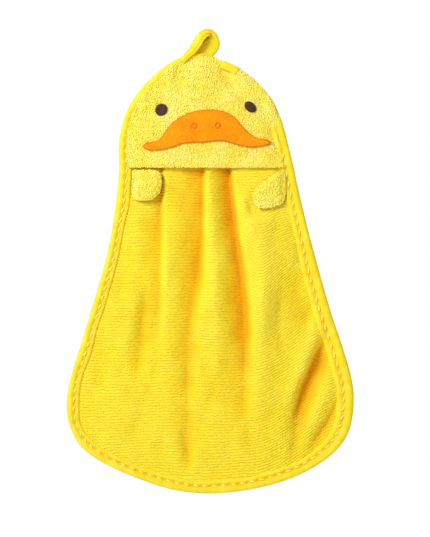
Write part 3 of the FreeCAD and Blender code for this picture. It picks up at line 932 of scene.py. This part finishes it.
def makeStitches(name, side):
    count = int(outlineRun / binding["stitchPitch"])
    share = np.linspace(0, 1, stitch["along"])
    start = (np.arange(count) + 0.5) * outlineRun / count
    along = start[:, None] + (share[None, :] - 0.5) * stitch["length"]
    place, inward = outlinePlaces(along)
    inset = binding["groove"] * onOutline(tapeWidth, along) + stitch["slant"] * (share - 0.5)[None, :]
    centre = place + inward * np.broadcast_to(inset, along.shape)[..., None]
    arch = stitch["arch"] * np.sin(np.pi * share)[None, :]
    rise = stitch["rise"] + arch - stitch["sunk"] * onOutline(stitchHidden, along)
    depth = edgeBow(centre[..., 0], centre[..., 1]) + side * (underTape(centre[..., 1]) + rise)
    thick = stitch["radius"] * np.sin(np.pi * (0.06 + 0.88 * share)) ** 0.5
    turn = np.arange(stitch["around"]) / stitch["around"] * fullTurn
    acrossPart = (thick[:, None] * np.cos(turn)[None, :])[None]
    upPart = (thick[:, None] * np.sin(turn)[None, :])[None]
    x = centre[..., 0, None] + inward[..., 0, None] * acrossPart
    z = centre[..., 1, None] + inward[..., 1, None] * acrossPart
    y = depth[..., None] + side * upPart
    points = np.stack([x, y, z], -1)
    rows, columns = stitch["along"], stitch["around"]
    per = rows * columns
    quads = gridQuads(rows, columns, aroundColumns=True, flip=side > 0)
    caps = np.stack([np.arange(columns)[::-1], np.arange(columns) + per - columns])
    if side > 0:
        caps = caps[:, ::-1]
    starts = (np.arange(count) * per)[:, None, None]
    random = np.random.default_rng(77)
    strand = np.repeat(random.uniform(0, 0.6, count), per)
    faces = [(quads + starts).reshape(-1, 4), (caps + starts).reshape(-1, columns)]
    return makePiece(name, points, faces, yellowThread, values={"strand": strand})


edgeBinding = makeBinding()
endTabPiece = makeEndTab()
stitchesFront = makeStitches("topstitchFront", -1)
stitchesBack = makeStitches("topstitchBack", 1)
print("binding and stitches made")


# the two edges of the tape from its sewn foot in front, over the top and down behind (x, y, z)
loop = {
    "outerEdge": [(-25, -3.4, -27.5), (-20.5, -4.0, -22.3), (-17, -4.4, -18.6), (-13.6, -4.8, -12.6),
                  (-10.2, -5.0, -6.8), (-5.6, -4.2, -1.8), (0.2, -2.2, 0.4), (5.8, 0.2, -1.0),
                  (10.0, 1.6, -5.8), (11.8, 2.4, -12.0), (10.6, 2.6, -18.0), (7.4, 2.2, -22.4),
                  (3.0, 1.2, -27.0)],
    "innerEdge": [(-21, -4.2, -31.5), (-16.5, -4.8, -27.6), (-10.8, -5.2, -22.8), (-7.6, -5.4, -18.9),
                  (-5.0, -5.4, -15.4), (-2.2, -5.2, -10.4), (1.4, -4.0, -6.8), (2.2, -1.4, -6.6),
                  (0.4, 0.6, -8.6), (-3.4, 1.6, -11.6), (-7.4, 2.0, -15.4), (-11.0, 1.8, -19.6),
                  (-14.0, 1.0, -25.0)],
    "sections": 110, "around": 40, "thickness": 2.4 * mm, "puffed": 2.2 * mm, "girth": 22 * mm,
    "bead": 0.40, "crease": 0.24,           # places across the tape, from -0.5 to 0.5
    "beadWidth": 0.08, "creaseWidth": 0.06, "relief": 0.30,
}


# a strip between the two edges: its section is a rounded bar with a bead along the inner edge
# and a crease beside it, and it is puffed up where it comes down behind
def makeLoop():
    share = np.linspace(0, 1, loop["sections"])
    outer = smoothLine(np.array(loop["outerEdge"]) * mm, share)
    inner = smoothLine(np.array(loop["innerEdge"]) * mm, share)
    across = inner - outer
    middle = (outer + inner) / 2
    ahead = np.gradient(middle, axis=0)
    normal = np.cross(ahead, across)
    normal /= np.linalg.norm(normal, axis=1)[:, None]
    turn = np.arange(loop["around"]) / loop["around"] * fullTurn
    side = np.sign(np.cos(turn)) * np.abs(np.cos(turn)) ** 0.6 / 2
    puffed = smoothStep(share, 0.50, 0.68) * (1 - smoothStep(share, 0.90, 1.0))
    thick = loop["thickness"] + loop["puffed"] * puffed
    bead = loop["relief"] * np.exp(-((side - loop["bead"]) / loop["beadWidth"]) ** 2) \
        - loop["relief"] * np.exp(-((side - loop["crease"]) / loop["creaseWidth"]) ** 2)
    bead = bead * (np.abs(np.sin(turn)) > 0.2) * np.sign(np.sin(turn))
    # known fault: the power has no value at turn 0, so the points there fall on the origin
    bar = (0.5 * np.sin(turn) * np.abs(np.sin(turn)) ** -0.35)[None, :].clip(-0.5, 0.5)
    lift = thick[:, None] * bar
    lift = lift + loop["thickness"] * bead[None, :] * (1 - smoothStep(share, 0.50, 0.62))[:, None]
    points = middle[:, None] + across[:, None] * side[None, :, None] + normal[:, None] * lift[..., None]
    rows, columns = points.shape[:2]
    run = np.concatenate([[0], np.cumsum(np.linalg.norm(np.diff(middle, axis=0), axis=1))])
    uv = np.stack(np.broadcast_arrays(run[:, None], (turn / fullTurn * loop["girth"])[None, :]), -1)
    # painted shade along the crease beside the bead
    groove = np.exp(-((side - loop["crease"]) / loop["beadWidth"]) ** 2) * 0.9
    return makePiece("hangingLoopTape", points, tubeFaces(rows, columns), tape, uv,
                     {"groove": np.broadcast_to(groove, (rows, columns))})


loopPiece = makeLoop()
print("loop made")


headLength = towel["crown"] - towel["seam"]
bill = {
    "faceWidth": 157.8 * mm,
    # its two lines: share of the face's width from the middle, share of the head's length down
    "top": [(-0.373, 0.828), (-0.354, 0.804), (-0.312, 0.795), (-0.272, 0.765), (-0.246, 0.712),
            (-0.212, 0.641), (-0.148, 0.570), (-0.087, 0.529), (-0.003, 0.508), (0.080, 0.517),
            (0.147, 0.562), (0.197, 0.641), (0.239, 0.712), (0.289, 0.757), (0.345, 0.772),
            (0.371, 0.794)],
    "bottom": [(-0.373, 0.832), (-0.360, 0.856), (-0.321, 0.869), (-0.262, 0.862), (-0.204, 0.841),
               (-0.145, 0.811), (-0.087, 0.800), (-0.020, 0.799), (0.047, 0.785), (0.097, 0.788),
               (0.147, 0.807), (0.197, 0.828), (0.264, 0.841), (0.345, 0.824), (0.371, 0.799)],
    "rows": 40, "columns": 150, "thickness": 1.5 * mm, "lift": 1.0 * mm,
    "nap": 0.05 * mm, "napSize": 2.2 * mm, "sunk": 0.9 * mm,
}


def headPoints(shares):
    shares = np.asarray(shares, float)
    return np.stack([shares[..., 0] * bill["faceWidth"],
                     towel["crown"] - shares[..., 1] * headLength], -1)


# the patch between the top and the bottom line, swelling a little at its middle
def makeBill():
    along = np.linspace(0, 1, bill["columns"])
    upper, _ = evenLine(headPoints(bill["top"]), bill["columns"])
    lower, _ = evenLine(headPoints(bill["bottom"]), bill["columns"])
    down = np.linspace(0, 1, bill["rows"])[:, None, None]
    flat = upper[None] + (lower - upper)[None] * down
    x, z = flat[..., 0], flat[..., 1]
    puff = (4 * down[..., 0] * (1 - down[..., 0])) ** 0.5 * np.sin(np.pi * along)[None, :] ** 0.5
    outer = headFaceY(x, z) - bill["lift"] - bill["thickness"] * (0.35 + 0.65 * puff)
    dent = crease(x, z, (-5.5, -95.5), (-4, -96), -0.5, 1.6, 1.6)
    outer = outer + bill["nap"] * unevenness(x, z, bill["napSize"], 51) - dent
    inner = headFaceY(x, z) - bill["lift"] + bill["sunk"]
    return makePiece("billFeltPatch", shellPoints(x, outer, inner, z),
                     shellFaces(bill["rows"], bill["columns"]), felt)


satin = {
    "pitch": 0.55 * mm, "perThread": 3, "around": 9, "ragged": 0.22,
    "width": 0.85 * mm, "height": 0.65 * mm,
}


# satin stitching: a half-round bead along a closed line, ribbed once for each thread
def makeSatin(name, line, width, height, baseY, material, seed):
    _, run = evenLine(line, 200, closed=True)
    threads = int(run / satin["pitch"])
    path, _ = evenLine(line, threads * satin["perThread"], closed=True)
    inward = inwardNormals(path)
    random = np.random.default_rng(seed)
    number, within = np.divmod(np.arange(len(path)), satin["perThread"])
    ridge = 0.80 + 0.20 * np.cos((within - 1) * fullTurn / satin["perThread"])
    reach = width * (1 + satin["ragged"] * random.normal(size=threads)[number])
    turn = np.arange(satin["around"]) / satin["around"] * fullTurn
    across = (reach * (0.9 + 0.1 * ridge))[:, None] * np.cos(turn)[None, :]
    x = path[:, 0, None] + inward[:, 0, None] * across
    z = path[:, 1, None] + inward[:, 1, None] * across
    y = baseY(path[:, 0], path[:, 1])[:, None] - height * ridge[:, None] * np.sin(turn)[None, :]
    points = np.stack([x, y, z], -1)
    strand = np.broadcast_to(random.uniform(0, 0.7, threads)[number][:, None], x.shape)
    faces = gridQuads(len(path), satin["around"], aroundRows=True, aroundColumns=True)
    return makePiece(name, points, [faces], material, values={"strand": strand})


def billEdgeY(x, z):
    return headFaceY(x, z) - bill["lift"] - 0.35 * mm


billPiece = makeBill()
billRing = np.concatenate([headPoints(bill["top"]), headPoints(bill["bottom"])[::-1]])
billRing, _ = evenLine(billRing, 400, closed=True)
billRing = billRing + inwardNormals(billRing) * satin["width"] * 0.8
billBorder = makeSatin("billSatinBorder", billRing, satin["width"], satin["height"], billEdgeY,
                       orangeThread, 61)

nostril = {"radius": 2.3 * mm, "points": 24, "width": 0.6 * mm, "height": 0.6 * mm}


def nostrilY(x, z):
    return headFaceY(x, z) - bill["lift"] - bill["thickness"] * 0.98


nostrils = []
for side in ("left", "right"):
    low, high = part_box("nostril_" + side)
    turn = np.arange(nostril["points"]) / nostril["points"] * -fullTurn
    ring = np.stack([(low.x + high.x) / 2 + nostril["radius"] * np.cos(turn),
                     (low.z + high.z) / 2 + nostril["radius"] * np.sin(turn)], -1)
    nostrils.append(makeSatin("nostrilStitch_" + side, ring, nostril["width"], nostril["height"],
                              nostrilY, orangeThread, 63))

eye = {
    "rows": 60, "columns": 26, "rowsPerThread": 3, "ragged": 0.035,
    "threadPitch": 0.55 * mm, "threadHeight": 0.07 * mm,
    "rise": 1.2 * mm, "lift": 1.1 * mm, "sunk": 1.2 * mm,
}


# satin-stitched spot: rows across a tilted oval, a low dome, ribbed once for each thread;
# both ends of each row reach the rim, where the dome meets the plush
def makeEye(side, tilt, squeeze, seed):
    low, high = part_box("eye_" + side)
    centre = np.array([(low.x + high.x) / 2, (low.z + high.z) / 2])
    halfWidth, halfHeight = (high.x - low.x) / 2 * squeeze[0], (high.z - low.z) / 2 * squeeze[1]
    random = np.random.default_rng(seed)
    down = np.linspace(-0.995, 0.995, eye["rows"])[:, None]
    thread = np.arange(eye["rows"]) // eye["rowsPerThread"]
    ragged = 1 + eye["ragged"] * random.normal(size=(eye["rows"] // eye["rowsPerThread"] + 1, 2))
    ends = np.sqrt(1 - down ** 2) * ragged[thread].mean(1)[:, None]
    across = ends * np.linspace(-1, 1, eye["columns"])[None, :]
    flatX, flatZ = across * halfWidth, np.broadcast_to(down, across.shape) * halfHeight
    x = centre[0] + flatX * np.cos(tilt) - flatZ * np.sin(tilt)
    z = centre[1] + flatX * np.sin(tilt) + flatZ * np.cos(tilt)
    dome = np.sqrt(np.clip(1 - np.minimum(across ** 2 + down ** 2, 1) ** 2, 0, 1))
    rib = np.cos(flatZ * fullTurn / eye["threadPitch"])
    base = headFaceY(x, z) - eye["lift"]
    outer = base - eye["rise"] * dome - eye["threadHeight"] * rib * dome
    points = shellPoints(x, outer, base + eye["sunk"], z)
    strand = np.broadcast_to(random.uniform(0, 0.8, (eye["rows"], 1)), x.shape).ravel()
    faces = [group[:, ::-1] for group in shellFaces(eye["rows"], eye["columns"])]
    return makePiece("eyeStitch_" + side, points, faces, brownThread,
                     values={"strand": np.tile(strand, 2)})


eyes = [makeEye("left", 0.6, (1.0, 1.0), 71), makeEye("right", -0.70, (1.04, 0.80), 73)]
print("bill, nostrils and eyes made")


paws = {
    # outlines in millimetres, and where the hinge line along the binding stands
    "left": {"line": [(-68.4, -130.4), (-61, -129.8), (-49, -129.8), (-43.5, -132.6), (-41.6, -142),
                      (-44.0, -151), (-51, -157), (-60, -158.4), (-67.0, -156.4), (-69.1, -150),
                      (-69.2, -138)],
             "hinge": -70.0, "seed": 81},
    "right": {"line": [(71.8, -133.6), (68, -131.2), (63, -132.6), (54, -139.5), (45, -146),
                       (42.2, -154), (44.6, -163), (52, -165), (61.6, -163.8), (69, -160.8),
                       (72.2, -154), (72.6, -144)],
              "hinge": 73.0, "seed": 83},
    "rings": 22, "innermost": 0.02, "around": 96, "voxel": 1.4 * mm, "sewnWidth": 3 * mm,
    "thickness": 0.8 * mm, "swell": 2.5 * mm, "uneven": 0.1 * mm,
    "tuftStep": 1.05 * mm, "tuftLength": 0.9 * mm, "tuftRadius": 0.85 * mm,
}


# a flat-backed pillow: rings shrink from the outline to the middle while the front rises, half
# by its blown-up padding and half by a round shoulder; spikes of plush cover front and rim
def makePaw(side):
    paw = paws[side]
    low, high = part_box("paw_" + side + "_front")
    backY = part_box("paw_" + side + "_backing")[1].y
    rim, _ = evenLine(np.array(paw["line"]) * mm, paws["around"], closed=True)
    middle = rim.mean(0)
    share = np.linspace(1, paws["innermost"], paws["rings"])[:, None]
    flat = middle + (rim - middle)[None] * share[..., None]
    random = np.random.default_rng(paw["seed"])

    def fromHinge(x):
        return np.abs(x - paw["hinge"] * mm)

    bag = inflate("pawBag", rim, paws["voxel"], lambda x, z: fromHinge(x) < paws["sewnWidth"])

    def frontY(reach, x, z):
        rise = 0.5 * readRise(bag, x, z) + 0.5 * (1 - np.clip(reach, 0, 1) ** 4) ** 0.5
        full = paws["thickness"] + paws["swell"] * rise
        return backY - full * (0.3 + 0.7 * smoothStep(fromHinge(x), 1.5 * mm, 8 * mm))

    y = frontY(share, flat[..., 0], flat[..., 1]) + random.normal(0, paws["uneven"], flat.shape[:2])
    front = np.stack([flat[..., 0], y, flat[..., 1]], -1)
    back = np.stack([flat[..., 0], np.full(y.shape, backY), flat[..., 1]], -1)[::-1]
    grid = np.concatenate([back, front])
    rows, columns = grid.shape[:2]
    start = rows * columns
    count = int(0.8 * (high.x - low.x) * (high.z - low.z) / paws["tuftStep"] ** 2)
    turn = random.uniform(0, 1, count)
    reach = np.sqrt(random.uniform(0, 1.0, count))
    closedRim = np.concatenate([rim, rim[:1]])
    rimPlaces = np.stack([np.interp(turn, np.arange(columns + 1) / columns, closedRim[:, axis])
                          for axis in (0, 1)], -1)
    places = middle + (rimPlaces - middle) * reach[:, None]
    roots = np.stack([places[:, 0], frontY(reach, places[:, 0], places[:, 1]), places[:, 1]], -1)
    outward = (rimPlaces - middle) / np.linalg.norm(rimPlaces - middle, axis=1)[:, None]
    outward = np.stack([outward[:, 0], 0 * reach, outward[:, 1]], -1)
    forward = np.array([0, -1, -0.12])
    lean = outward * (0.9 * reach ** 4)[:, None] + forward * (1 - 0.55 * reach ** 6)[:, None]
    lean = (lean + random.normal(0, 0.32, lean.shape)) * paws["tuftLength"] \
        * random.uniform(0.5, 1.0, (count, 1))
    lean = lean * (0.35 + 0.65 * smoothStep(fromHinge(places[:, :1]), 2 * mm, 7 * mm))
    tuftPoints, quads, triangles = makeTufts(roots, lean, paws["tuftRadius"], paw["seed"] + 1)
    tips = np.concatenate([np.full(start, tuft["clothTip"]), np.tile(tuft["tips"], count)])
    faces = tubeFaces(rows, columns) + [quads + start, triangles + start]
    return makePiece("pawPlush_" + side, np.concatenate([grid.reshape(-1, 3), tuftPoints]), faces,
                     plush, values={"tip": tips})


pawPieces = {side: makePaw(side) for side in ("left", "right")}
print("paws made")


for piece in (body, edgeBinding, stitchesFront, stitchesBack):
    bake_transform(piece)
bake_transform(loopPiece)
for piece in [headFront, headBack, endTabPiece, billPiece, billBorder, *nostrils, *eyes]:
    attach(piece, "head")
for side, piece in pawPieces.items():
    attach(piece, "paw_" + side)
    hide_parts("paw_" + side + "_backing", "paw_" + side + "_front")

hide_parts("body_panel")
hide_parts("body_edge_binding", "head_edge_binding")
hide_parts("head_front_panel")
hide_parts("head_back_panel")
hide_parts("binding_end_tab")
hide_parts("hanging_loop")
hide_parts("bill")
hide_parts("bill_edge_stitching")
for side, piece in zip(("left", "right"), nostrils):
    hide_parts("nostril_" + side)
for side, piece in zip(("left", "right"), eyes):
    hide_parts("eye_" + side)


stage = {
    "floorZ": -1.30, "half": 4.0, "noiseScale": 6.0, "glow": 0.22, "roughness": 0.8,
    "tone": (0.80, 0.86, 0.93, 1), "paler": (0.82, 0.88, 0.95, 1),
}


# a plain pale floor, well below the hanging towel
def makeStage():
    material, tree, shader = newMaterial("paleFloor")
    place = addNode(tree, "ShaderNodeTexCoord").outputs["Object"]
    shade = mixColours(tree, noiseValue(tree, place, stage["noiseScale"]), stage["tone"], stage["paler"])
    tree.links.new(shade, shader.inputs["Base Color"])
    shader.inputs["Emission Color"].default_value = (1, 1, 1, 1)
    shader.inputs["Emission Strength"].default_value = stage["glow"]
    shader.inputs["Roughness"].default_value = stage["roughness"]
    half, floor = stage["half"], stage["floorZ"]
    corners = [(-half, -half, floor), (half, -half, floor), (half, half, floor), (-half, half, floor)]
    makePiece("paleFloor", corners, [np.array([[0, 1, 2, 3]])], material)


# three soft lamps aimed at the towel: place, size, power in watts and colour
lamps = {
    "target": (0, 0, -0.2),
    "keyLight": ((-0.95, -1.0, 0.55), 0.6, 24, (0.90, 1.0, 1.0)),
    "fillLight": ((0.9, -1.4, -0.1), 1.4, 3.5, (1.0, 1.0, 1.0)),
    "backLight": ((0.3, 1.3, 0.6), 1.2, 16, (1.0, 1.0, 1.0)),
    "warm": (1.0, 0.87, 0.62, 1), "white": (1, 1, 1, 1),
}


def addLight(name):
    place, size, power, colour = lamps[name]
    data = bpy.data.lights.new(name, "AREA")
    data.size = size
    data.energy = power
    data.color = colour
    light = bpy.data.objects.new(name, data)
    bpy.context.scene.collection.objects.link(light)
    light.location = place
    direction = Vector(lamps["target"]) - Vector(place)
    light.rotation_euler = direction.to_track_quat("-Z", "Y").to_euler()


def makeLights():
    for name in ("keyLight", "fillLight", "backLight"):
        addLight(name)
    world = bpy.data.worlds.new("softWorld")
    bpy.context.scene.world = world
    world.use_nodes = True
    tree = world.node_tree
    background = tree.nodes["Background"]
    seen = addNode(tree, "ShaderNodeLightPath").outputs["Is Camera Ray"]
    # plain white behind the towel, softer and warm where it only lights the cloth
    colour = mixColours(tree, seen, lamps["warm"], lamps["white"])
    tree.links.new(colour, background.inputs["Color"])
    tree.links.new(spread(tree, seen, -1.05, 1.0), background.inputs["Strength"])
    bpy.context.scene.view_settings.view_transform = "Standard"    # keeps the cloth's yellow as it is


camera = {
    "lens": 110.0, "sensor": 36.0,
    "frameHeight": 495.6 * mm, "aimX": 7.4 * mm, "aimZ": -220.5 * mm,      # what the view takes in
    "farthest": 20,
}


def makeCamera():
    data = bpy.data.cameras.new("frontCamera")
    data.lens = camera["lens"]
    data.sensor_width = camera["sensor"]
    data.sensor_fit = "VERTICAL"
    data.sensor_height = camera["sensor"]
    data.clip_end = camera["farthest"]
    view = bpy.data.objects.new("frontCamera", data)
    bpy.context.scene.collection.objects.link(view)
    distance = camera["frameHeight"] * camera["lens"] / camera["sensor"]
    view.location = (camera["aimX"], -distance, camera["aimZ"])
    view.rotation_euler = (np.pi / 2, 0, 0)
    bpy.context.scene.camera = view


makeStage()
makeLights()
makeCamera()
print("stage, lights and camera made")
